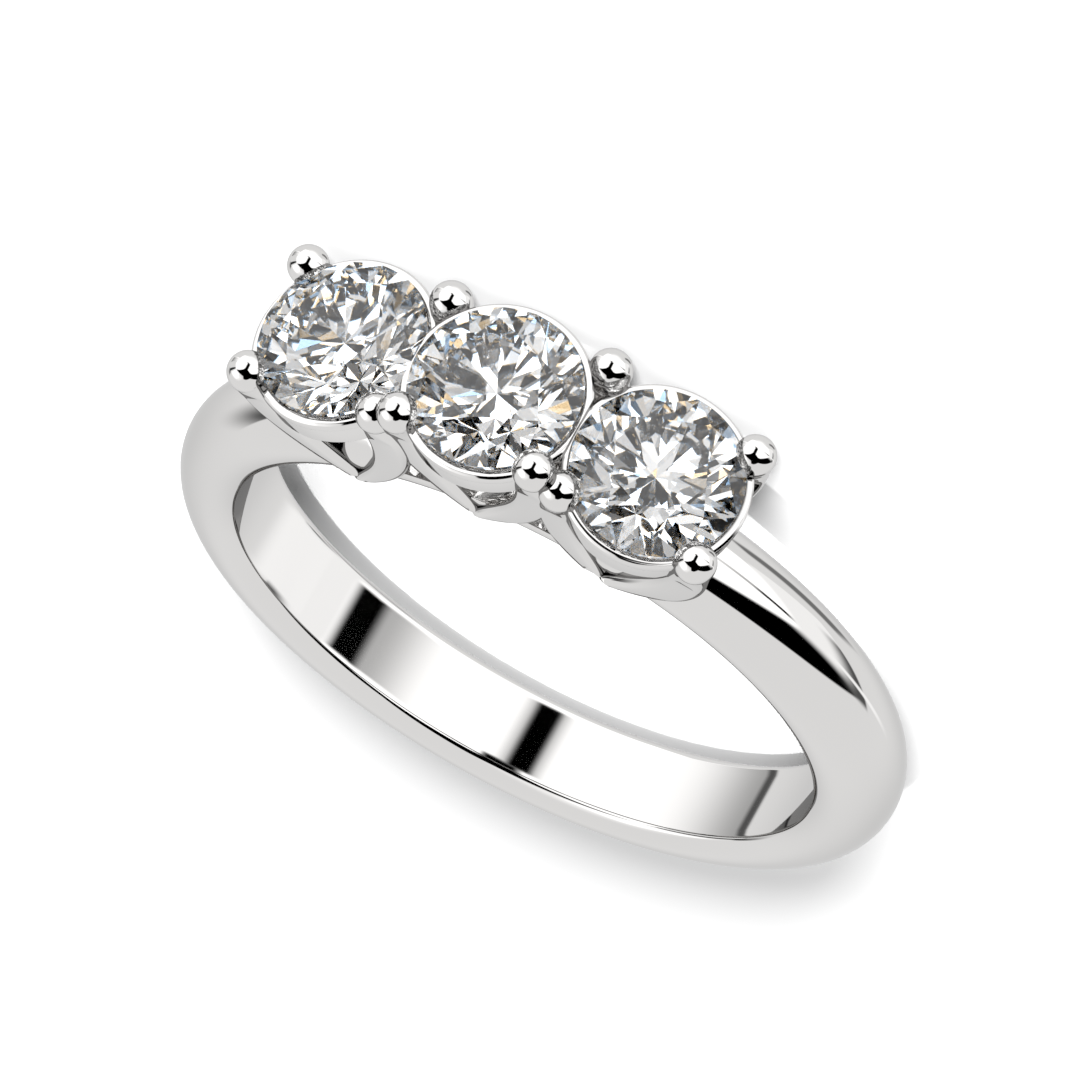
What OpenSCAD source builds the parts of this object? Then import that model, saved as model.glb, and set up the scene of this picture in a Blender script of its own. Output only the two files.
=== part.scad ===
// Three stone ring, lying on its side on a flat surface.
// Origin: centre of the finger hole. The front face of the band looks up (+Z),
// the stones point to -Y. Units are millimetres.
// The ring is worked out upright (hole along Y, stones at +Z) and then laid down.

/* [Part] */
// Which piece to draw

/* [Finger hole and band] */
// Inside diameter of the ring
bore_d = 16.5; // [15.5:0.1:19]
// Thickness of the band from the hole to its crown
band_t = 1.94; // [1.8:0.02:2.2]
// Width of the band at its widest
band_w = 2.76; // [2.6:0.02:3]
// Height above the hole at which the band is widest
band_waist = 0.65; // [0.6:0.05:0.7]
// Radius of the band's rounded sides
side_r = 0.9; // [0.85:0.05:0.95]
// Radius of the rounded edge along the hole
edge_r = 0.2; // [0.15:0.05:0.25]
// Thickness left in the bridge under the stones
bridge_t = 0.8; // [0.75:0.05:1]

/* [Setting] */
// Height of the centre stone's girdle above the hole's top
girdle_h = 4.74; // [4.68:0.02:4.86]
// Clear space between neighbouring stones
stone_gap = 0.1; // [0.06:0.02:0.24]
// How much lower the side stones sit
row_drop = 0.99; // [0.85:0.02:1.1]
// Angle at which each side stone leans outward
fan_deg = 12.9; // [11:0.1:14]
// Outer radius of a collet beyond its stone
collet_out = 0.22; // [0.18:0.01:0.26]
// Height of a collet's wall
collet_h = 0.95; // [0.8:0.05:1.1]
// Thickness of a collet's wall at its foot
collet_wall = 0.38; // [0.3:0.02:0.45]
// Diameter of the bead on each single prong
bead_d = 1.08; // [1.02:0.02:1.12]
// Diameter of the shared beads at the back
shared_d = 1.12; // [1.08:0.02:1.18]
// Distance of a bead's middle beyond the edge of its stone
bead_out = 0.29; // [0.26:0.01:0.32]
// Angle between the row and the line from a stone's middle to its bead
bead_deg = 40.5; // [40:0.5:42]
// Prong width under its bead
leg_top = 0.96; // [0.9:0.02:0.98]
// Prong depth, front to back
leg_deep = 0.55; // [0.5:0.01:0.62]
// How far below the girdle the two prongs of a pair meet
leg_drop = 4.3; // [4.2:0.02:4.36]
// How far that meeting point lies to one side of the stone's middle
leg_skew = 0.22; // [0.1:0.02:0.3]
// Width of a prong at that height
leg_foot = 0.8; // [0.72:0.02:0.88]
// Distance from the row to the face of a prong at its foot
foot_y = 1.52; // [1.46:0.02:1.56]

/* [Stones] */
// Diameter of each stone
stone_d = 4.42; // [4.34:0.02:4.46]
// Table width as a share of the diameter
table_share = 0.57; // [0.53:0.01:0.6]
// Slope of the crown's main facets
crown_deg = 34.5; // [33:0.5:36]
// Slope of the pavilion's main facets
pavilion_deg = 40.8; // [40:0.2:41.6]
// Thickness of the girdle where the main facets meet it
girdle_t = 0.16; // [0.12:0.01:0.2]
// Clear gap between a stone and the metal
seat_gap = 0.03; // [0.02:0.005:0.04]

/* [Hidden] */
$fn = 96;
far = 12;
metal = [0.86, 0.86, 0.87];
clear = [0.93, 0.96, 1.0];

bore_r = bore_d / 2;
stone_r = stone_d / 2;
half_w = band_w / 2;
girdle_z = bore_r + girdle_h;
pitch = sqrt(pow(stone_d + stone_gap, 2) - row_drop * row_drop);
prong_x = (stone_r + bead_out) * cos(bead_deg);
prong_y = (stone_r + bead_out) * sin(bead_deg);

// Band section: crown arc, two side arcs, two edge arcs. x across, y away from the hole.
side_x = half_w - side_r;
crown_r = (side_x * side_x + pow(band_t - band_waist, 2) - side_r * side_r)
        / (2 * (band_t - band_waist - side_r));
crown_y = band_t - crown_r;
edge_x = side_x + sqrt(pow(side_r - edge_r, 2) - pow(band_waist - edge_r, 2));
edge_dir = [edge_x - side_x, edge_r - band_waist] / (side_r - edge_r);
crown_dir = [side_x, band_waist - crown_y] / (crown_r - side_r);

// Beads stand a little above the girdle plane.
bead_z = 0.02;
bead_r = bead_d / 2;
shared_r = shared_d / 2;
shared_back = 0.19;
shared_y = prong_y + shared_back;
shared_low = 0.15;
collet_r = stone_r + collet_out;
collet_top = -0.12;
collet_draft = 0.08;
collet_bevel = 0.06;

// The room under the side stones starts at this share of their distance.
saddle_share = 0.64;
saddle_step = 0.3;

// The pavilion's lower facets meet at this share of the stone's radius.
joint_share = 0.23;

// A stone's room is steeper than the stone by these angles.
room_below_deg = 1.6;
room_above_deg = 7.5;

// A stone's place, and points to and from its own frame.
function stone_at(k) = [k * pitch, 0, girdle_z - abs(k) * row_drop];
function to_ring(k, p) = let (a = k * fan_deg)
    stone_at(k) + [p[0] * cos(a) + p[2] * sin(a), p[1], p[2] * cos(a) - p[0] * sin(a)];
function to_stone(k, q) = let (a = k * fan_deg, d = q - stone_at(k))
    [d[0] * cos(a) - d[2] * sin(a), d[1], d[2] * cos(a) + d[0] * sin(a)];
shared_mid = (to_ring(0, [prong_x, 0, bead_z]) + to_ring(1, [-prong_x, 0, bead_z])) / 2
        - [0, 0, shared_low];
function shared_at(k) = [k * shared_mid[0], shared_y, shared_mid[2]];

// Resting tilt: the floor touches the shared beads and the lowest side of the band.
rest_a = shared_mid[2] + bore_r + band_waist;
rest_b = shared_y - side_x;
lay_deg = asin((shared_r - side_r) / norm([rest_a, rest_b])) + atan2(rest_b, rest_a);

module lay_down() {
    rotate([-lay_deg, 0, 0])
        rotate([-90, 0, 180])
            children();
}

module stone_frame(k) {
    translate(stone_at(k))
        rotate([0, k * fan_deg, 0])
            children();
}

// Band

module band_section() {
    intersection() {
        translate([0, crown_y])
            circle(r = crown_r);
        polygon([
            [0, crown_y],
            [side_x, band_waist] + crown_dir * far,
            [0, far],
            [-side_x, band_waist] - [crown_dir[0], -crown_dir[1]] * far
        ]);
    }
    for (s = [-1, 1])
        intersection() {
            translate([s * side_x, band_waist])
                circle(r = side_r);
            polygon([
                [s * side_x, band_waist],
                [s * (side_x + edge_dir[0] * far), band_waist + edge_dir[1] * far],
                [s * far, far],
                [0, far],
                [0, band_waist]
            ]);
        }
    // The core reaches into the crown. Towards the finger it runs on past the hole, which cuts it.
    core_y = band_waist + side_r / 2;
    low = [side_x + edge_dir[0] * side_r, band_waist + edge_dir[1] * side_r];
    polygon([
        [-low[0], -1],
        [low[0], -1],
        low,
        [side_x, band_waist],
        [side_x, core_y],
        [-side_x, core_y],
        [-side_x, band_waist],
        [-low[0], low[1]]
    ]);
}

module band() {
    rotate([90, 0, 0])
        rotate_extrude($fn = 180)
            translate([bore_r, 0])
                rotate([0, 0, -90])
                    band_section();
}

// The finger hole. Each rounded edge ends on the line where it meets the band's side.
module finger_hole() {
    rotate([90, 0, 0])
        rotate_extrude($fn = 180)
            difference() {
                union() {
                    translate([0, -band_w])
                        square([bore_r, 2 * band_w]);
                    for (s = [0, 1])
                        mirror([0, s])
                            polygon([
                                [bore_r - 1, edge_x],
                                [bore_r + edge_r, edge_x],
                                [bore_r + edge_r + edge_dir[1], edge_x + edge_dir[0]],
                                [bore_r - 1, edge_x + edge_dir[0]]
                            ]);
                }
                for (s = [-1, 1])
                    translate([bore_r + edge_r, s * edge_x])
                        circle(r = edge_r);
            }
}

// The room above the bridge, which ends in sloped shoulders under the side stones.
module saddle_room() {
    top_z = girdle_z + 1;
    foot_x = saddle_share * pitch;
    difference() {
        rotate([90, 0, 0])
            linear_extrude(height = band_w + 1, center = true)
                polygon([
                    [-foot_x, bore_r - 1],
                    [foot_x, bore_r - 1],
                    [foot_x, bore_r + saddle_step],
                    [foot_x + top_z - bore_r, top_z],
                    [-foot_x - top_z + bore_r, top_z],
                    [-foot_x, bore_r + saddle_step]
                ]);
        rotate([90, 0, 0])
            cylinder(r = bore_r + bridge_t, h = band_w + 2, center = true, $fn = 180);
    }
}

// Prongs. Each leg is a flat strap that curves down and inward from its bead. Of each
// pair, the one on the right laps over the end of the other.
leg_bend = 0.8;
leg_lap = 0.24;
under_lap = 0.1;
leg_proud = 0.07;
leg_face = 0.4;
leg_past = 0.9;
foot_clear = 0.2;

// A prong's neck narrows to its bead over this height.
neck_h = 1.25;
neck_r = 0.78;
neck_in = 0.04;

module leg_outline(top_x, top_z, over) {
    meet = over ? -leg_skew : leg_skew;
    out_x = top_x + leg_top / 2;
    in_x = top_x - leg_top / 2;
    run_x = out_x - meet - leg_foot;
    run_z = leg_drop - leg_bend;
    out_r = (run_x * run_x + run_z * run_z) / (2 * run_x);
    in_r = (pow(in_x - meet, 2) + leg_drop * leg_drop) / (2 * (in_x - meet));
    mirror([over ? 0 : 1, 0])
        difference() {
            intersection() {
                translate([out_x - out_r, -leg_bend])
                    circle(r = out_r, $fn = 240);
                translate([meet - (over ? leg_lap : under_lap), -leg_drop - leg_past])
                    square([far, leg_drop + leg_past + top_z]);
            }
            translate([in_x - in_r, 0])
                circle(r = in_r, $fn = 240);
        }
}

// top is the place of the leg's bead, in front of the stone
module leg(top, over) {
    side = over ? 1 : -1;
    lean = atan((top[1] + leg_face - foot_y) / leg_drop);
    intersection() {
        translate([0, -top[1] - leg_face - (over ? leg_proud : 0), 0])
            rotate([90 + lean, 0, 0])
                translate([0, 0, -leg_deep])
                    linear_extrude(height = leg_deep)
                        leg_outline(top[0], top[2], over);
        union() {
            translate([side * top[0], -top[1], top[2] - neck_h])
                cylinder(r1 = neck_r, r2 = bead_r - neck_in, h = neck_h + neck_in);
            translate([-far / 2, -far / 2, top[2] - neck_h + neck_in - far])
                cube(far);
        }
    }
}

// Both pairs of one stone: the rear pair is the front pair turned half round.
module stone_prongs(k) {
    front = [prong_x, prong_y, bead_z];
    stone_frame(k) {
        for (over = [true, false])
            leg(front, over);
        rotate([0, 0, 180])
            for (over = [true, false])
                leg(back_top(k, over ? -1 : 1), over);
    }
}
function back_top(k, s) = k == s ? [prong_x, prong_y, bead_z]
    : let (q = to_stone(k, shared_at(k == 0 ? s : k))) [abs(q[0]), q[1], q[2]];

module beads() {
    for (k = [-1:1])
        stone_frame(k)
            for (s = [-1, 1])
                translate([s * prong_x, -prong_y, bead_z])
                    sphere(r = bead_r);
    for (s = [-1, 1]) {
        stone_frame(s)
            translate([s * prong_x, prong_y, bead_z])
                sphere(r = bead_r);
        translate(shared_at(s))
            sphere(r = shared_r);
    }
}

module collet(k) {
    stone_frame(k)
        rotate_extrude()
            polygon([
                [collet_r - collet_wall, collet_top - collet_h],
                [collet_r - collet_draft, collet_top - collet_h],
                [collet_r, collet_top - collet_bevel],
                [collet_r - collet_bevel, collet_top],
                [collet_r - collet_wall, collet_top]
            ]);
}

// Room for a stone with its gap, cut from collets and beads.
module stone_room(k) {
    r = stone_r + seat_gap;
    g = girdle_t / 2 + seat_gap;
    stone_frame(k)
        rotate_extrude()
            polygon([
                [0, -g - r * tan(pavilion_deg + room_below_deg)],
                [r, -g],
                [r, g],
                [r - 1, g + tan(crown_deg + room_above_deg)],
                [0, g + tan(crown_deg + room_above_deg)]
            ]);
}

module mount_upright() {
    difference() {
        union() {
            difference() {
                band();
                saddle_room();
                finger_hole();
            }
            // The prongs' feet stop a little outside the finger hole.
            difference() {
                for (k = [-1:1])
                    stone_prongs(k);
                rotate([90, 0, 0])
                    cylinder(r = bore_r + foot_clear, h = far, center = true, $fn = 180);
            }
            for (k = [-1:1])
                collet(k);
            beads();
        }
        for (k = [-1:1])
            stone_room(k);
    }
}

// Stones: a cylinder cut by the facet planes of a round brilliant.

module facet(n, p) {
    // keeps what lies under the plane through p with outward normal n
    rotate([0, acos(n[2] / norm(n)), atan2(n[1], n[0])])
        translate([-far, -far, n * p / norm(n) - 2 * far])
            cube(2 * far);
}

// One half of the cut: up is 1 for the crown and -1 for the pavilion.
module half_cut(slope, joint_r) {
    g = girdle_t / 2;
    s = [joint_r * cos(22.5), joint_r * sin(22.5),
         g + (stone_r - joint_r * cos(22.5)) * tan(slope)];
    edge = [stone_r, 0, g];
    mid = [stone_r * cos(22.5), stone_r * sin(22.5), g];
    fine = cross(mid - edge, s - edge);
    intersection_for (i = [0:7]) {
        rotate([0, 0, 45 * i])
            intersection() {
                facet([sin(slope), 0, cos(slope)], edge);
                facet(fine, edge);
                mirror([0, 1, 0])
                    facet(fine, edge);
            }
    }
}

module brilliant() {
    g = girdle_t / 2;
    table_r = stone_r * table_share;
    table_z = g + (stone_r - table_r) * tan(crown_deg);
    flat_r = table_r * cos(22.5);
    star_r = (flat_r + stone_r) / 2;
    star_z = g + (stone_r - star_r * cos(22.5)) * tan(crown_deg);
    star_n = [table_z - star_z, 0, star_r - flat_r];
    intersection() {
        translate([0, 0, -2 * stone_r])
            cylinder(r = stone_r, h = 2 * stone_r + table_z);
        half_cut(crown_deg, star_r);
        intersection_for (i = [0:7])
            rotate([0, 0, 45 * i + 22.5])
                facet(star_n, [flat_r, 0, table_z]);
        mirror([0, 0, 1])
            half_cut(pavilion_deg, stone_r * joint_share);
    }
}

// Nodes

module mount() {
    color(metal)
        lay_down()
            mount_upright();
}

module stone_left() {
    color(clear)
        lay_down()
            stone_frame(-1)
                brilliant();
}

module stone_centre() {
    color(clear)
        lay_down()
            stone_frame(0)
                brilliant();
}

module stone_right() {
    color(clear)
        lay_down()
            stone_frame(1)
                brilliant();
}

mount();
stone_left();
stone_centre();
stone_right();
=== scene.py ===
"""The looks of the three stone ring: polished white metal that lies on its side on a pale floor.

The ring is worked out upright, in millimetres (finger hole along Y, stones at +Z), and laid down
by LAY, which also turns millimetres into metres.
"""

from math import acos, asin, atan, atan2, cos, hypot, pi, radians, sin, sqrt, tan

import bmesh
import bpy
from mathutils import Matrix, Vector


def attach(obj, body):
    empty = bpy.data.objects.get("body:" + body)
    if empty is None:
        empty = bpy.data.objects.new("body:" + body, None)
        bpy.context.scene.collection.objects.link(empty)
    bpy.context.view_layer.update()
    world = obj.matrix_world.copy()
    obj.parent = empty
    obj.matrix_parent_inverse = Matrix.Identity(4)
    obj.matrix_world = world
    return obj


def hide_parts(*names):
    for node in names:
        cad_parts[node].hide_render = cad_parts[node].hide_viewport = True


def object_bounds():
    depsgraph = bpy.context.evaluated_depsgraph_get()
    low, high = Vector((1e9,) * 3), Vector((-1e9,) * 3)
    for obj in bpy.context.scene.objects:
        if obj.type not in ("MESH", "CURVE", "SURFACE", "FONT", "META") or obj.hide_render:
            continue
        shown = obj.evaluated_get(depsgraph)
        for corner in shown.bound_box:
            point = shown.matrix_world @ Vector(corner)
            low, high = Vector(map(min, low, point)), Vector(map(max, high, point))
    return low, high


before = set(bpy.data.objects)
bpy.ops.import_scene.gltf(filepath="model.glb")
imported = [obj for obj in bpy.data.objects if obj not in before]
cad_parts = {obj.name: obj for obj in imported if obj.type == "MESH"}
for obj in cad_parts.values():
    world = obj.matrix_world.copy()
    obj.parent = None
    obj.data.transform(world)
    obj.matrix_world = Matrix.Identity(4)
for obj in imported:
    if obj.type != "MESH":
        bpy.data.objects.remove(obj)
cad_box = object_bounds()

# Sizes of the solids, in millimetres

BORE_R = 8.25
BAND_T = 1.94
BAND_W = 2.76
BAND_WAIST = 0.65
SIDE_R = 0.9
EDGE_R = 0.2
BRIDGE_T = 0.8
SADDLE_SHARE = 0.64
SADDLE_STEP = 0.3

GIRDLE_Z = BORE_R + 4.74
STONE_GAP = 0.1
ROW_DROP = 0.99
FAN = radians(12.9)

COLLET_OUT = 0.22
COLLET_H = 0.95
COLLET_WALL = 0.38
COLLET_TOP = -0.12
COLLET_DRAFT = 0.08
COLLET_BEVEL = 0.06

BEAD_R = 0.54
SHARED_R = 0.56
BEAD_OUT = 0.29
BEAD_ANGLE = radians(40.5)
BEAD_Z = 0.02
SHARED_BACK = 0.19
SHARED_LOW = 0.15

LEG_TOP = 0.96
LEG_DEEP = 0.55
LEG_DROP = 4.3
LEG_SKEW = 0.22
LEG_FOOT = 0.8
FOOT_Y = 1.52
LEG_BEND = 0.8
LEG_LAP = 0.24
UNDER_LAP = 0.1
LEG_PROUD = 0.07
LEG_FACE = 0.4
FOOT_CLEAR = 0.2

STONE_R = 2.21
TABLE_SHARE = 0.57
CROWN = radians(34.5)
PAVILION = radians(40.8)
JOINT_SHARE = 0.23
GIRDLE_T = 0.16
SEAT_GAP = 0.03

PITCH = sqrt((2 * STONE_R + STONE_GAP) ** 2 - ROW_DROP ** 2)
PRONG_X = (STONE_R + BEAD_OUT) * cos(BEAD_ANGLE)
PRONG_Y = (STONE_R + BEAD_OUT) * sin(BEAD_ANGLE)
STONES = {-1: "left", 0: "centre", 1: "right"}
MILLIMETRE = 0.001

# Finer forms that only the scene has, in millimetres, and shares

SADDLE_BLEND = 0.08
# The room under the stones cuts nothing off the band where its slope is less than this.
SADDLE_LEAST = 0.2
GROOVE = 0.06
GROOVE_LOW = 0.3
GROOVE_SLOPE = 0.05
GROOVE_LIP = 0.02
COLLET_ROUND = 0.02
LEG_CORNER = 0.2
LEG_CROWN = 0.07
# An over leg closes towards its end over LEG_TIP, down to the root of TIP_LEAST of its width.
LEG_TIP = 0.34
TIP_LEAST = 0.0004
# A leg turns round from NECK_DROP below its bead's middle, over NECK_H in its width and over
# NECK_ROUND_H at its corners.
NECK_R = 0.52
NECK_DROP = 1.0
NECK_H = 0.85
NECK_ROUND_H = 0.8
# A corner's radius is at most this share of the half width.
CORNER_MOST = 0.999

# How finely the meshes are cut

HEAD_SPAN = radians(26)
HEAD_STEP = radians(0.45)
BAND_STEP = radians(0.85)
WALL_CUTS = 6
EDGE_CUTS = 8
SIDE_CUTS = 16
CROWN_CUTS = 26
COLLET_CUTS = 160
COLLET_ROUND_CUTS = 3
LEG_CUTS = 72
# How much a leg's rows crowd towards its end
LEG_CROWDING = 0.6
LEG_CORNER_CUTS = 6
BEAD_CUTS = 5
GIRDLE_CUTS = 6
WELD = 1e-5

# Edges sharper than this stay sharp.
BAND_SMOOTH = radians(35)
COLLET_SMOOTH = radians(30)
PRONG_SMOOTH = radians(40)
BEAD_SMOOTH = radians(30)


def stone_frame(k):
    """Places a stone's own frame in the upright ring."""
    at = Vector((k * PITCH, 0, GIRDLE_Z - abs(k) * ROW_DROP))
    return Matrix.Translation(at) @ Matrix.Rotation(k * FAN, 4, "Y")


def shared_bead(side):
    """Middle of the back bead that two stones share."""
    own = stone_frame(0) @ Vector((PRONG_X, 0, BEAD_Z))
    next_one = stone_frame(1) @ Vector((-PRONG_X, 0, BEAD_Z))
    mid = (own + next_one) / 2
    return Vector((side * mid.x, PRONG_Y + SHARED_BACK, mid.z - SHARED_LOW))


def lay_down():
    """Lays the upright ring on its side, where its shared beads and the band touch the floor."""
    rise = shared_bead(1).z + BORE_R + BAND_WAIST
    reach = shared_bead(1).y - (BAND_W / 2 - SIDE_R)
    lay = asin((SHARED_R - SIDE_R) / hypot(rise, reach)) + atan2(reach, rise)
    half_round = Matrix.Rotation(pi, 4, "Z")
    turn = Matrix.Rotation(-lay, 4, "X") @ half_round @ Matrix.Rotation(-pi / 2, 4, "X")
    return Matrix.Scale(MILLIMETRE, 4) @ turn


LAY = lay_down()
FLOOR_Z = cad_box[0].z


# Meshes

def piece(name, bm, material, node, smooth_angle=None):
    """Turns a bmesh in upright millimetres into a piece of the ring that stands for a CAD node."""
    bmesh.ops.recalc_face_normals(bm, faces=bm.faces)
    mesh = bpy.data.meshes.new(name)
    bm.to_mesh(mesh)
    bm.free()
    mesh.transform(LAY)
    mesh.materials.append(material)
    if smooth_angle is not None:
        mesh.shade_smooth()
        mesh.set_sharp_from_angle(angle=smooth_angle)
    obj = bpy.data.objects.new(name, mesh)
    bpy.context.collection.objects.link(obj)
    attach(obj, "root")
    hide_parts(node)


def grid(rows, closed_rows=False):
    """A bmesh skin over rows of points. Each row is a closed loop."""
    bm = bmesh.new()
    made = [[bm.verts.new(p) for p in row] for row in rows]
    count = len(made[0])
    for i in range(len(made) if closed_rows else len(made) - 1):
        a, b = made[i], made[(i + 1) % len(made)]
        for j in range(count):
            n = (j + 1) % count
            bm.faces.new((a[j], a[n], b[n], b[j]))
    return bm, made


def arc(centre, radius, start, end, steps):
    """Points of an arc, both ends included."""
    angles = [start + (end - start) * i / steps for i in range(steps + 1)]
    return [(centre[0] + radius * cos(a), centre[1] + radius * sin(a)) for a in angles]


def rounded(points, radius, steps):
    """A closed outline with each corner rounded by one radius."""
    out = []
    for i, p in enumerate(points):
        p = Vector(p)
        before = (Vector(points[i - 1]) - p).normalized()
        after = (Vector(points[(i + 1) % len(points)]) - p).normalized()
        half = acos(max(-1, min(1, before.dot(after)))) / 2
        centre = p + (before + after).normalized() * (radius / sin(half))
        a = p + before * (radius / tan(half)) - centre
        b = p + after * (radius / tan(half)) - centre
        start, turn = atan2(a.y, a.x), atan2(b.y, b.x) - atan2(a.y, a.x)
        turn = (turn + pi) % (2 * pi) - pi
        out += arc(centre, radius, start, start + turn, steps)
    return out


def lathe(profile):
    """A bmesh turned round Z from a closed outline of (radius, height)."""
    rows = []
    for i in range(COLLET_CUTS):
        a = 2 * pi * i / COLLET_CUTS
        rows.append([(r * cos(a), r * sin(a), z) for r, z in profile])
    return grid(rows, closed_rows=True)[0]


def mix(a, b, t):
    return a + (b - a) * t


def ease(t):
    t = max(0, min(1, t))
    return t * t * (3 - 2 * t)


# Band

def band_outline():
    """The band's section: across, and height above the hole. It starts in mid-wall."""
    side_x = BAND_W / 2 - SIDE_R
    rise = BAND_T - BAND_WAIST
    crown_r = (side_x ** 2 + rise ** 2 - SIDE_R ** 2) / (2 * (rise - SIDE_R))
    crown_y = BAND_T - crown_r
    edge_x = side_x + sqrt((SIDE_R - EDGE_R) ** 2 - (BAND_WAIST - EDGE_R) ** 2)
    edge_a = atan2(EDGE_R - BAND_WAIST, edge_x - side_x)
    side_a = atan2(BAND_WAIST - crown_y, side_x)
    wall = [(edge_x * i / WALL_CUTS, 0) for i in range(WALL_CUTS)]
    half = wall + arc((edge_x, EDGE_R), EDGE_R, -pi / 2, edge_a, EDGE_CUTS)[:-1]
    half += arc((side_x, BAND_WAIST), SIDE_R, edge_a, side_a, SIDE_CUTS)[:-1]
    half += arc((0, crown_y), crown_r, side_a, pi / 2, CROWN_CUTS)
    return half + [(-x, y) for x, y in reversed(half[1:-1])]


def soft_min(a, b, k):
    """The smaller of two, rounded over where they are within k."""
    h = max(k - abs(a - b), 0) / k
    return min(a, b) - h * h * k / 4


def saddle_height(angle):
    """Height above the hole at which the room under the stones cuts the band."""
    start = BORE_R + SADDLE_STEP - SADDLE_SHARE * PITCH
    slope = cos(angle) - abs(sin(angle))
    if slope <= SADDLE_LEAST:
        return 2 * BAND_T
    return max(BRIDGE_T, start / slope - BORE_R)


def make_band(material):
    """The band, cut finely under the head and more coarsely elsewhere."""
    outline = band_outline()
    angles = [-HEAD_SPAN]
    while angles[-1] < 2 * pi - HEAD_SPAN:
        angles.append(angles[-1] + (HEAD_STEP if angles[-1] < HEAD_SPAN else BAND_STEP))
    rows = []
    for a in angles[:-1]:
        top = saddle_height(a)
        rows.append([])
        for x, y in outline:
            r = BORE_R + soft_min(y, top, SADDLE_BLEND)
            rows[-1].append((r * sin(a), x, r * cos(a)))
    bm = grid(rows, closed_rows=True)[0]
    piece("band", bm, material, "mount", BAND_SMOOTH)


# Collets

def make_collet(k, material):
    """A stone's collet, with a groove round it, cut off halfway to each neighbour."""
    outer = STONE_R + COLLET_OUT
    inner = outer - COLLET_WALL
    seat = STONE_R + SEAT_GAP
    low = COLLET_TOP - COLLET_H
    groove_top = COLLET_TOP - GROOVE_LOW
    profile = [
        (inner, low),
        (outer - COLLET_DRAFT, low),
        (outer - GROOVE, groove_top - GROOVE_SLOPE),
        (outer - GROOVE, groove_top),
        (outer, groove_top + GROOVE_LIP),
        (outer, COLLET_TOP - COLLET_BEVEL),
        (outer - COLLET_BEVEL, COLLET_TOP),
        (seat, COLLET_TOP),
        (inner, COLLET_TOP - (seat - inner) * tan(PAVILION)),
    ]
    bm = lathe(rounded(profile, COLLET_ROUND, COLLET_ROUND_CUTS))
    bm.transform(stone_frame(k))
    for other in (k - 1, k + 1):
        if other not in STONES:
            continue
        here, there = stone_frame(k).translation, stone_frame(other).translation
        cut = bmesh.ops.bisect_plane(
            bm, geom=bm.verts[:] + bm.edges[:] + bm.faces[:], plane_co=(here + there) / 2,
            plane_no=there - here, clear_outer=True)
        rim = [e for e in cut["geom_cut"] if isinstance(e, bmesh.types.BMEdge)]
        bmesh.ops.holes_fill(bm, edges=rim)
    piece("collet_" + STONES[k], bm, material, "mount", COLLET_SMOOTH)


# Prongs

def section(a, b, corner):
    """A rounded rectangle of half sizes a and b, as (across, deep) points."""
    corner = min(corner, a * CORNER_MOST, b * CORNER_MOST)
    out = []
    for quarter, (sx, sy) in enumerate(((1, 1), (-1, 1), (-1, -1), (1, -1))):
        centre = (sx * (a - corner), sy * (b - corner))
        out += arc(centre, corner, quarter * pi / 2, (quarter + 1) * pi / 2, LEG_CORNER_CUTS)
    return out


def clear_finger(bm):
    """Keeps a prong's foot out of the finger hole."""
    least = BORE_R + FOOT_CLEAR
    for v in bm.verts:
        r = hypot(v.co.x, v.co.z)
        if r < least:
            v.co.x *= least / r
            v.co.z *= least / r


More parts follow.
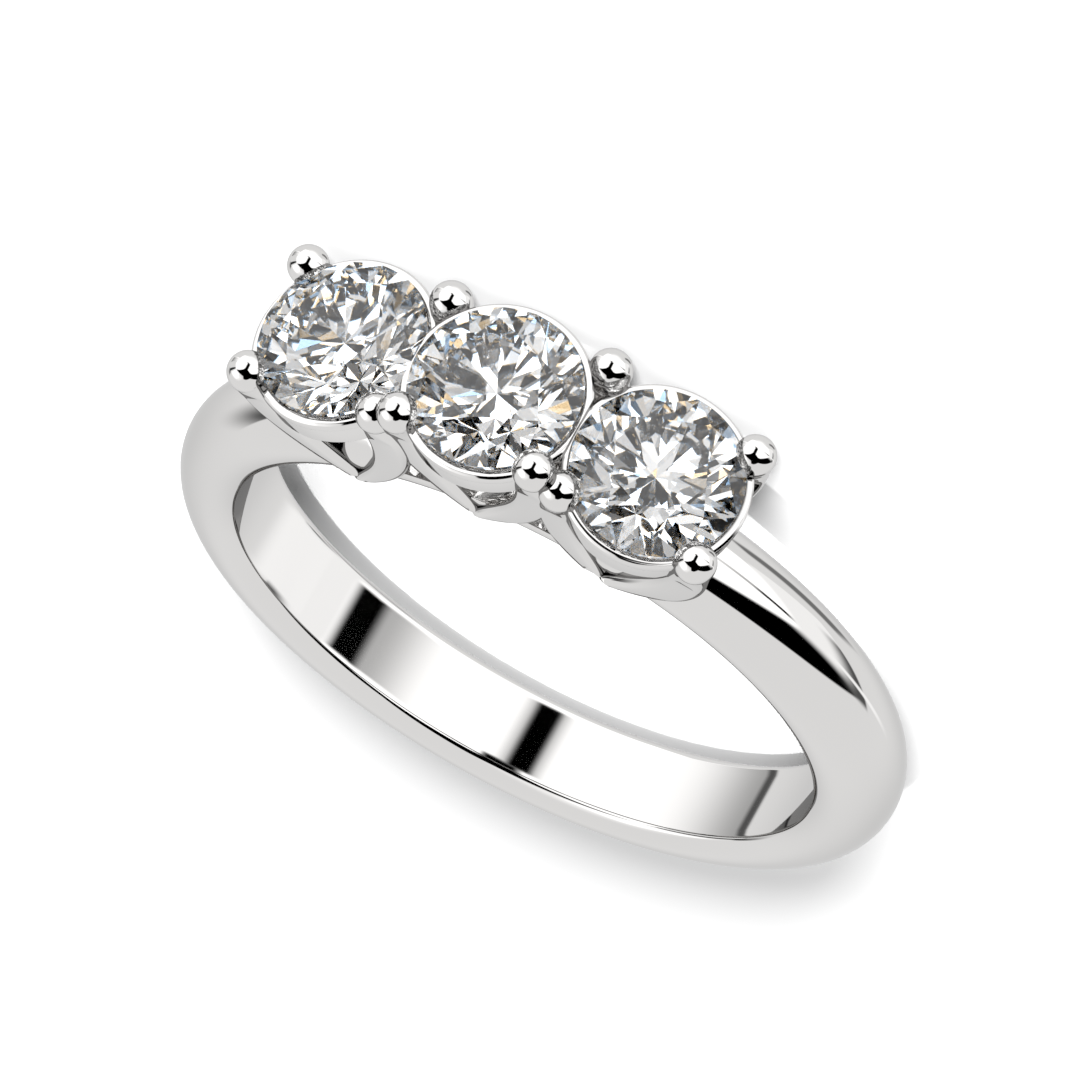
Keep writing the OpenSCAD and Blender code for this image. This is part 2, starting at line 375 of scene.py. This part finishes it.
def make_leg(name, place, top, over, material):
    """A flat strap that curves down and inward from its bead.

    top is the bead's middle in front of the stone. An over leg laps over the end of its pair.
    """
    meet = -LEG_SKEW if over else LEG_SKEW
    out_x, in_x = top[0] + LEG_TOP / 2, top[0] - LEG_TOP / 2
    run_x, run_z = out_x - meet - LEG_FOOT, LEG_DROP - LEG_BEND
    out_r = (run_x ** 2 + run_z ** 2) / (2 * run_x)
    in_r = ((in_x - meet) ** 2 + LEG_DROP ** 2) / (2 * (in_x - meet))
    end_x = meet - (LEG_LAP if over else UNDER_LAP)
    out_c, in_c = (out_x - out_r, -LEG_BEND), (in_x - in_r, 0)
    out_end = atan2(-sqrt(out_r ** 2 - (end_x - out_c[0]) ** 2), end_x - out_c[0])
    in_end = atan2(-sqrt(in_r ** 2 - (end_x - in_c[0]) ** 2), end_x - in_c[0])
    lean = atan((top[1] + LEG_FACE - FOOT_Y) / LEG_DROP)
    rows = []
    for i in range(LEG_CUTS + 1):
        t = i / LEG_CUTS
        t = t * t * (1 + LEG_CROWDING - LEG_CROWDING * t)
        along_out = mix(out_end, asin(LEG_BEND / out_r), t)
        along_in = mix(in_end, 0, t)
        o = Vector((out_c[0] + out_r * cos(along_out), out_c[1] + out_r * sin(along_out)))
        n = Vector((in_c[0] + in_r * cos(along_in), in_c[1] + in_r * sin(along_in)))
        mid, half = (o + n) / 2, (o - n).length / 2
        across = (o - n).normalized()
        close = 1
        if over and mid.x - end_x < LEG_TIP:
            close = sqrt(max(TIP_LEAST, 1 - (1 - (mid.x - end_x) / LEG_TIP) ** 2))
            half *= close
        past_neck = mid.y - top[2] + NECK_DROP
        neck = ease(past_neck / NECK_H)
        half = mix(half, NECK_R, neck)
        deep = mix(LEG_DEEP / 2, NECK_R, neck)
        back = mix(LEG_DEEP / 2, LEG_FACE, neck)
        corner = mix(LEG_CORNER, NECK_R, ease(past_neck / NECK_ROUND_H))
        y = -top[1] - LEG_FACE - (LEG_PROUD if over else 0) * (1 - neck)
        row = []
        for u, w in section(half, deep, corner):
            p = mid + across * u
            p.y = min(p.y, top[2])
            crown = LEG_CROWN * (u / half) ** 2 if w > 0 else 0
            e = -back + w * close - crown * (1 - neck)
            row.append(place @ Vector((
                p.x if over else -p.x,
                y - p.y * sin(lean) - e * cos(lean),
                p.y * cos(lean) - e * sin(lean))))
        rows.append(row)
    bm, made = grid(rows)
    for end in (made[0], made[-1]):
        bm.faces.new(end)
    clear_finger(bm)
    piece(name, bm, material, "mount", PRONG_SMOOTH)


def make_bead(name, at, radius, material):
    bm = bmesh.new()
    bmesh.ops.create_icosphere(bm, subdivisions=BEAD_CUTS, radius=radius)
    bm.transform(Matrix.Translation(at))
    piece(name, bm, material, "mount", BEAD_SMOOTH)


def make_prongs(material):
    turn = Matrix.Rotation(pi, 4, "Z")
    front = (PRONG_X, PRONG_Y, BEAD_Z)
    for k, label in STONES.items():
        place = stone_frame(k)
        for over in (True, False):
            # The rear pair is the front pair turned half round, so its sides swap.
            side = 1 if over else -1
            end, rear_end = ("right", "left") if over else ("left", "right")
            make_leg(f"prong_{label}_front_{end}", place, front, over, material)
            bead = place @ Vector((side * PRONG_X, -PRONG_Y, BEAD_Z))
            make_bead(f"bead_{label}_front_{end}", bead, BEAD_R, material)
            rear = front
            if k == -side:
                bead = place @ Vector((-side * PRONG_X, PRONG_Y, BEAD_Z))
                make_bead(f"bead_{label}_back", bead, BEAD_R, material)
            else:
                q = place.inverted() @ shared_bead(-side if k == 0 else k)
                rear = (abs(q.x), q.y, q.z)
            make_leg(f"prong_{label}_back_{rear_end}", place @ turn, rear, over, material)
    for side, label in ((-1, "left"), (1, "right")):
        make_bead("bead_shared_" + label, shared_bead(side), SHARED_R, material)


# Stones

def ring_point(radius, angle, z):
    return Vector((radius * cos(angle), radius * sin(angle), z))


def girdle_arc(a, b, tip):
    """Where the facet through girdle corners a and b and the point tip meets the girdle."""
    normal = (b - a).cross(tip - a)
    start, end = atan2(a.y, a.x), atan2(b.y, b.x)
    end = start + (end - start + pi) % (2 * pi) - pi
    out = []
    for i in range(GIRDLE_CUTS + 1):
        p = ring_point(STONE_R, mix(start, end, i / GIRDLE_CUTS), 0)
        p.z = a.z - (normal.x * (p.x - a.x) + normal.y * (p.y - a.y)) / normal.z
        out.append(p)
    return out


def make_stone(k, material):
    """A round brilliant: the table, eight stars, eight kites, sixteen upper and sixteen lower
    girdle facets, and eight mains."""
    bm = bmesh.new()
    eighth, half = pi / 4, pi / 8
    g = GIRDLE_T / 2
    table_r = STONE_R * TABLE_SHARE
    table_z = g + (STONE_R - table_r) * tan(CROWN)
    star_r = (table_r * cos(half) + STONE_R) / 2
    star_z = g + (STONE_R - star_r * cos(half)) * tan(CROWN)
    joint_r = STONE_R * JOINT_SHARE
    joint_z = -g - (STONE_R - joint_r * cos(half)) * tan(PAVILION)
    culet = Vector((0, 0, -g - STONE_R * tan(PAVILION)))

    def face(points):
        bm.faces.new([bm.verts.new(p) for p in points])

    face([ring_point(table_r, i * eighth, table_z) for i in range(8)])
    for i in range(8):
        a = i * eighth
        top = ring_point(table_r, a, table_z)
        star = ring_point(star_r, a + half, star_z)
        star_before = ring_point(star_r, a - half, star_z)
        joint = ring_point(joint_r, a + half, joint_z)
        joint_before = ring_point(joint_r, a - half, joint_z)
        face([top, star_before, ring_point(STONE_R, a, g), star])
        face([top, star, ring_point(table_r, a + eighth, table_z)])
        face([culet, joint, ring_point(STONE_R, a, -g), joint_before])
        for start, end in ((a, a + half), (a + half, a + eighth)):
            upper = girdle_arc(ring_point(STONE_R, start, g), ring_point(STONE_R, end, g), star)
            lower = girdle_arc(ring_point(STONE_R, start, -g), ring_point(STONE_R, end, -g), joint)
            face([star] + upper)
            face([joint] + lower)
            for j in range(len(upper) - 1):
                face([lower[j], lower[j + 1], upper[j + 1], upper[j]])
    bmesh.ops.remove_doubles(bm, verts=bm.verts, dist=WELD)
    bm.transform(stone_frame(k))
    node = "stone_" + STONES[k]
    piece(node + "_cut", bm, material, node)


# Materials

METAL_COLOUR = (0.775, 0.765, 0.755, 1)
# The polishing haze: how fine it is, and the roughness it runs between
HAZE_SCALE = 900
HAZE_DETAIL = 4
HAZE_ROUGH = (0.02, 0.05)

STONE_IOR = 2.42
# Colour and index of the two lights that the stones' fire is made of
STONE_FIRE = (((0.64, 0.46, 0.24), 2.395), ((0.36, 0.54, 0.76), 2.445))

FLOOR_COLOUR = (0.9, 0.9, 0.9, 1)
FLOOR_ROUGH = 0.8


def node_material(name):
    material = bpy.data.materials.new(name)
    material.use_nodes = True
    tree = material.node_tree
    tree.nodes.clear()
    out = tree.nodes.new("ShaderNodeOutputMaterial")
    return material, tree, out


def white_metal():
    """Polished white metal with a fine polishing haze."""
    material, tree, out = node_material("white_metal")
    shader = tree.nodes.new("ShaderNodeBsdfPrincipled")
    shader.inputs["Metallic"].default_value = 1
    shader.inputs["Base Color"].default_value = METAL_COLOUR
    place = tree.nodes.new("ShaderNodeTexCoord")
    noise = tree.nodes.new("ShaderNodeTexNoise")
    noise.inputs["Scale"].default_value = HAZE_SCALE
    noise.inputs["Detail"].default_value = HAZE_DETAIL
    spread = tree.nodes.new("ShaderNodeMapRange")
    spread.inputs["To Min"].default_value = HAZE_ROUGH[0]
    spread.inputs["To Max"].default_value = HAZE_ROUGH[1]
    tree.links.new(place.outputs["Object"], noise.inputs["Vector"])
    tree.links.new(noise.outputs["Fac"], spread.inputs["Value"])
    tree.links.new(spread.outputs["Result"], shader.inputs["Roughness"])
    tree.links.new(shader.outputs["BSDF"], out.inputs["Surface"])
    return material


def clear_stone():
    """Clear cut stone. The first surface splits the light a little, as the stone's fire does."""
    material, tree, out = node_material("clear_stone")

    def glass(colour, ior):
        shader = tree.nodes.new("ShaderNodeBsdfGlass")
        shader.inputs["Color"].default_value = (*colour, 1)
        shader.inputs["Roughness"].default_value = 0
        shader.inputs["IOR"].default_value = ior
        return shader

    plain = glass((1, 1, 1), STONE_IOR)
    warm, cool = [glass(colour, ior) for colour, ior in STONE_FIRE]
    split = tree.nodes.new("ShaderNodeAddShader")
    tree.links.new(warm.outputs[0], split.inputs[0])
    tree.links.new(cool.outputs[0], split.inputs[1])
    path = tree.nodes.new("ShaderNodeLightPath")
    pick = tree.nodes.new("ShaderNodeMixShader")
    tree.links.new(path.outputs["Is Camera Ray"], pick.inputs["Fac"])
    tree.links.new(plain.outputs[0], pick.inputs[1])
    tree.links.new(split.outputs[0], pick.inputs[2])
    tree.links.new(pick.outputs[0], out.inputs["Surface"])
    return material


def pale_floor():
    material, tree, out = node_material("pale_floor")
    shader = tree.nodes.new("ShaderNodeBsdfPrincipled")
    shader.inputs["Base Color"].default_value = FLOOR_COLOUR
    shader.inputs["Roughness"].default_value = FLOOR_ROUGH
    shader.inputs["Specular IOR Level"].default_value = 0
    tree.links.new(shader.outputs["BSDF"], out.inputs["Surface"])
    return material


# Studio

# Half the floor's width, in metres
FLOOR_HALF = 3

# Brightness of the tent that the ring mirrors, and of the even one that lights the floor
TENT = 0.88
FLOOR_TENT = 0.73

# Share of light lost after more than one metal face, the ray depth that tells it, and the share
# lost in the stones' outer reflections
HOLLOW_LOSS = 0.7
HOLLOW_DEPTH = 2.5
SHINE_LOSS = 0.5

# The patches that the stones see: how fine they are, how dark and bright, and the range of the
# cells' value that runs from dark to bright. Where the cards are black, a patch keeps CARD_BASE of
# its brightness.
STONE_CELLS = 5.0
STONE_DARK = 0.0
STONE_BRIGHT = 1.9
PATCH_RANGE = (0.32, 0.68)
CARD_SHARE = 0.55
CARD_BASE = 0.45

# The low light: strength, angle across, and where it comes from
LOW_LIGHT = 14.5
LOW_SPREAD = radians(22)
LOW_FROM = Vector((-0.8, -5.0, 1.05))

# The spot above the finger hole: strength, radius of its pool, height, soft edge and own radius,
# with lengths in metres
HOLE_LIGHT = 0.115
HOLE_LIGHT_R = 0.0108
HOLE_LIGHT_Z = 0.06
HOLE_LIGHT_BLEND = 0.08
HOLE_LIGHT_SIZE = 0.004

# Cards of the studio: brightness, edge softness (one for all edges, or one for each), and corners
# as (azimuth, elevation) in degrees, anticlockwise as seen from the ring. Azimuth 0 is towards -Y
# and 90 is +X. Each card covers those before it. The inner wall of the band mirrors little but
# elevations -22 to -17, so the thin cards there shape its patches.
CARDS = [
    (0.68, 0.35, [(120, -55), (205, -55), (205, 8), (120, 8)]),
    (1.40, 0.25, [(-95, -52), (0, -68), (65, -58), (88, -20), (60, 12), (-60, 0), (-100, -25)]),
    (1.15, 0.15, [(40, 30), (95, 22), (100, 70), (0, 72)]),
    (0.00, 0.02, [(-118, -15), (-60, -25), (-45, 10), (-61, 44)]),
    (0.00, 0.03, [(-61, 10), (0, 0), (0, 54), (-20, 72), (-52, 66), (-61, 45)]),
    (0.00, 0.02, [(-8, 0), (40, 10), (54, 26), (-8, 58)]),
    (0.00, 0.02, [(-12, -18), (4, -18), (4, 30), (-16, 30)]),
    (1.12, (0.02, 0.02, 0.02, 0.10), [(-120, -15), (-112, -50), (-70, -50), (-76, -10)]),
    (0.10, (0.02, 0.05, 0.12, 0.05), [(-122, -14), (-114, -42), (-107, -42), (-109, -8)]),
    (1.15, (0.02, 0.02, 0.02, 0.14), [(-134, -22.9), (-98, -22.9), (-98, -19.3), (-134, -19.3)]),
    (1.45, (0.05, 0.02, 0.05, 0.02, 0.02, 0.04),
     [(-84, -14), (-70, -48), (-10, -48), (-14, 17), (-36, 25), (-48, 22)]),
    (1.45, (0.02, 0.02, 0.02, 0.02, 0.02, 0.02, 0.05),
     [(3, -48), (58, -48), (64, 0), (55, 27), (32, 30), (12, 24), (3, 14)]),
    (1.45, 0.05, [(56, 27), (93, 27), (93, 60), (50, 68), (38, 48)]),
    (0.04, 0.015, [(59, 16), (80, 13), (103, 7), (103, 17), (85, 22), (62, 23)]),
    (0.10, (0.20, 0.17, 0.015, 0.02), [(100, 8), (114, 8), (114, 22.5), (100, 22.5)]),
    (0.20, 0.04, [(-165, -47), (-140, -66), (-100, -76), (-90, -66), (-135, -52)]),
    (0.55, (0.012, 0.25, 0.012, 0.02), [(-70, -21.2), (-50, -20.6), (-50, -16.8), (-70, -17.4)]),
    (0.00, (0.012, 0.05, 0.012, 0.05), [(-81, -21.5), (-67, -21.0), (-67, -17.4), (-81, -17.9)]),
    (1.45, 0.012, [(-17, -19.8), (14, -19.8), (14, -15.6), (-17, -15.6)]),
    (0.40, (0.012, 0.08, 0.012, 0.08), [(-5, -19.8), (9, -19.8), (9, -15.6), (-5, -15.6)]),
    (0.00, (0.012, 0.03, 0.012, 0.03), [(-2.6, -19.8), (6.6, -19.8), (6.6, -15.6), (-2.6, -15.6)]),
    (1.35, 0.012, [(50, -26), (103, -26), (103, -12), (50, -12)]),
    (0.42, (0.012, 0.012, 0.012, 0.40), [(78, -26), (103, -26), (103, -12), (78, -12)]),
    (0.10, 0.03, [(98, -26), (103, -26), (103, -12), (98, -12)]),
]


def make_floor():
    bm = bmesh.new()
    bmesh.ops.create_grid(bm, x_segments=1, y_segments=1, size=FLOOR_HALF)
    mesh = bpy.data.meshes.new("floor")
    bm.to_mesh(mesh)
    bm.free()
    mesh.transform(Matrix.Translation((0, 0, FLOOR_Z)))
    mesh.materials.append(pale_floor())
    obj = bpy.data.objects.new("floor", mesh)
    bpy.context.collection.objects.link(obj)
    obj.visible_glossy = False
    obj.visible_transmission = False


def direction(azimuth, elevation):
    a, e = radians(azimuth), radians(elevation)
    return Vector((sin(a) * cos(e), -cos(a) * cos(e), sin(e)))


def make_world():
    """A pale tent with bright and black cards, seen in the metal and in the stones."""
    world = bpy.data.worlds.new("studio")
    bpy.context.scene.world = world
    world.use_nodes = True
    tree = world.node_tree
    place = tree.nodes.new("ShaderNodeTexCoord")

    def link(a, b):
        tree.links.new(a, b)

    def inside(normal, soft):
        """1 on the side of a plane through the ring that its normal points to."""
        dot = tree.nodes.new("ShaderNodeVectorMath")
        dot.operation = "DOT_PRODUCT"
        dot.inputs[1].default_value = normal
        link(place.outputs["Generated"], dot.inputs[0])
        step = tree.nodes.new("ShaderNodeMapRange")
        step.interpolation_type = "SMOOTHSTEP"
        step.inputs["From Min"].default_value = -soft
        step.inputs["From Max"].default_value = soft
        link(dot.outputs["Value"], step.inputs["Value"])
        return step.outputs["Result"]

    def math(operation, a, b):
        node = tree.nodes.new("ShaderNodeMath")
        node.operation = operation
        for socket, value in zip(node.inputs, (a, b)):
            if isinstance(value, float):
                socket.default_value = value
            else:
                link(value, socket)
        return node.outputs[0]

    def change(level, other, where):
        """level, or other where the mask is 1."""
        return math("ADD", level, math("MULTIPLY", where, math("SUBTRACT", other, level)))

    def weaken(level, loss, where):
        """level, with a share of it lost where the mask is 1."""
        return math("MULTIPLY", level, math("SUBTRACT", 1.0, math("MULTIPLY", where, loss)))

    level = TENT
    for bright, soft, corners in CARDS:
        points = [direction(*c) for c in corners]
        edges = soft if isinstance(soft, tuple) else (soft,) * len(points)
        mask = None
        for i, p in enumerate(points):
            edge = inside(p.cross(points[(i + 1) % len(points)]).normalized(), edges[i])
            mask = edge if mask is None else math("MULTIPLY", mask, edge)
        level = change(level, bright, mask)
    path = tree.nodes.new("ShaderNodeLightPath")
    # Light that has met more than one metal face is weaker, which darkens the setting's hollows.
    deep = math("GREATER_THAN", path.outputs["Ray Depth"], HOLLOW_DEPTH)
    again = math("MULTIPLY", deep, path.outputs["Is Glossy Ray"])
    from_stone = path.outputs["Is Transmission Ray"]
    again = math("MULTIPLY", again, math("SUBTRACT", 1.0, from_stone))
    level = weaken(level, HOLLOW_LOSS, again)
    # The stones' outer faces mirror the studio more weakly, so that their depths show.
    shine = math("MULTIPLY", path.outputs["Is Singular Ray"], math("SUBTRACT", 1.0, from_stone))
    level = weaken(level, SHINE_LOSS, shine)
    # The stones see the studio broken up into brighter and darker patches, as a lit room is.
    cells = tree.nodes.new("ShaderNodeTexVoronoi")
    cells.inputs["Scale"].default_value = STONE_CELLS
    link(place.outputs["Generated"], cells.inputs["Vector"])
    split = tree.nodes.new("ShaderNodeSeparateColor")
    link(cells.outputs["Color"], split.inputs["Color"])
    patch = tree.nodes.new("ShaderNodeMapRange")
    patch.inputs["From Min"].default_value = PATCH_RANGE[0]
    patch.inputs["From Max"].default_value = PATCH_RANGE[1]
    patch.inputs["To Min"].default_value = STONE_DARK
    patch.inputs["To Max"].default_value = STONE_BRIGHT
    link(split.outputs["Red"], patch.inputs["Value"])
    share = math("ADD", math("MULTIPLY", level, CARD_SHARE), CARD_BASE)
    broken = math("MULTIPLY", share, patch.outputs["Result"])
    level = change(level, broken, from_stone)
    # The floor sees an even tent.
    level = change(level, FLOOR_TENT, path.outputs["Is Diffuse Ray"])
    link(level, tree.nodes["Background"].inputs["Color"])
    tree.nodes["Background"].inputs["Strength"].default_value = 1
    world.cycles.sampling_method = "NONE"


def lamp(name, kind, energy):
    """A lamp that only the floor takes light from. The metal and the stones don't mirror it."""
    light = bpy.data.lights.new(name, kind)
    light.energy = energy
    obj = bpy.data.objects.new(name, light)
    obj.visible_camera = False
    obj.visible_glossy = False
    obj.visible_transmission = False
    bpy.context.collection.objects.link(obj)
    return obj


def make_lamps():
    """A low soft light that whitens the floor and lays the faint shadow, and a spot above the
    finger hole."""
    low = lamp("low_light", "SUN", LOW_LIGHT)
    low.data.angle = LOW_SPREAD
    low.rotation_mode = "QUATERNION"
    low.rotation_quaternion = LOW_FROM.to_track_quat("Z", "Y")
    spot = lamp("hole_light", "SPOT", HOLE_LIGHT)
    spot.location = (0, 0, FLOOR_Z + HOLE_LIGHT_Z)
    spot.data.spot_size = 2 * atan(HOLE_LIGHT_R / HOLE_LIGHT_Z)
    spot.data.spot_blend = HOLE_LIGHT_BLEND
    spot.data.shadow_soft_size = HOLE_LIGHT_SIZE


# The photograph's view of the upright ring, with lengths in millimetres

CAMERA_TURN = radians(37.653)
CAMERA_RISE = radians(63.46)
CAMERA_ROLL = radians(-11.411)
CAMERA_FAR = 444.966
CAMERA_AIM = Vector((0.412, 0, 4.801))
CAMERA_LENS = 590.97
CAMERA_SENSOR = 36


def make_camera():
    """The photograph's viewing angle, given in the upright ring."""
    turn, rise = CAMERA_TURN, CAMERA_RISE
    back = Vector((sin(turn) * cos(rise), -cos(turn) * cos(rise), sin(rise)))
    level = Vector((cos(turn), sin(turn), 0))
    over = back.cross(level)
    right = level * cos(CAMERA_ROLL) + over * sin(CAMERA_ROLL)
    up = over * cos(CAMERA_ROLL) - level * sin(CAMERA_ROLL)
    place = Matrix((right, up, back)).transposed().to_4x4()
    place.translation = CAMERA_AIM + back * CAMERA_FAR
    camera = bpy.data.cameras.new("camera")
    camera.sensor_width = CAMERA_SENSOR
    camera.lens = CAMERA_LENS
    camera.clip_start = 0.01
    camera.clip_end = 20
    obj = bpy.data.objects.new("camera", camera)
    bpy.context.collection.objects.link(obj)
    laid = LAY @ place
    facing = laid.to_3x3().normalized().to_4x4()
    obj.matrix_world = Matrix.Translation(laid.translation) @ facing
    bpy.context.scene.camera = obj


metal = white_metal()
stone = clear_stone()
make_band(metal)
make_prongs(metal)
for k in STONES:
    make_collet(k, metal)
    make_stone(k, stone)
make_floor()
make_world()
make_lamps()
make_camera()

scene = bpy.context.scene
scene.view_settings.view_transform = "Standard"
scene.cycles.max_bounces = 24
scene.cycles.transmission_bounces = 20
scene.cycles.glossy_bounces = 12
scene.cycles.caustics_reflective = False
scene.cycles.caustics_refractive = False
scene.cycles.use_denoising = True
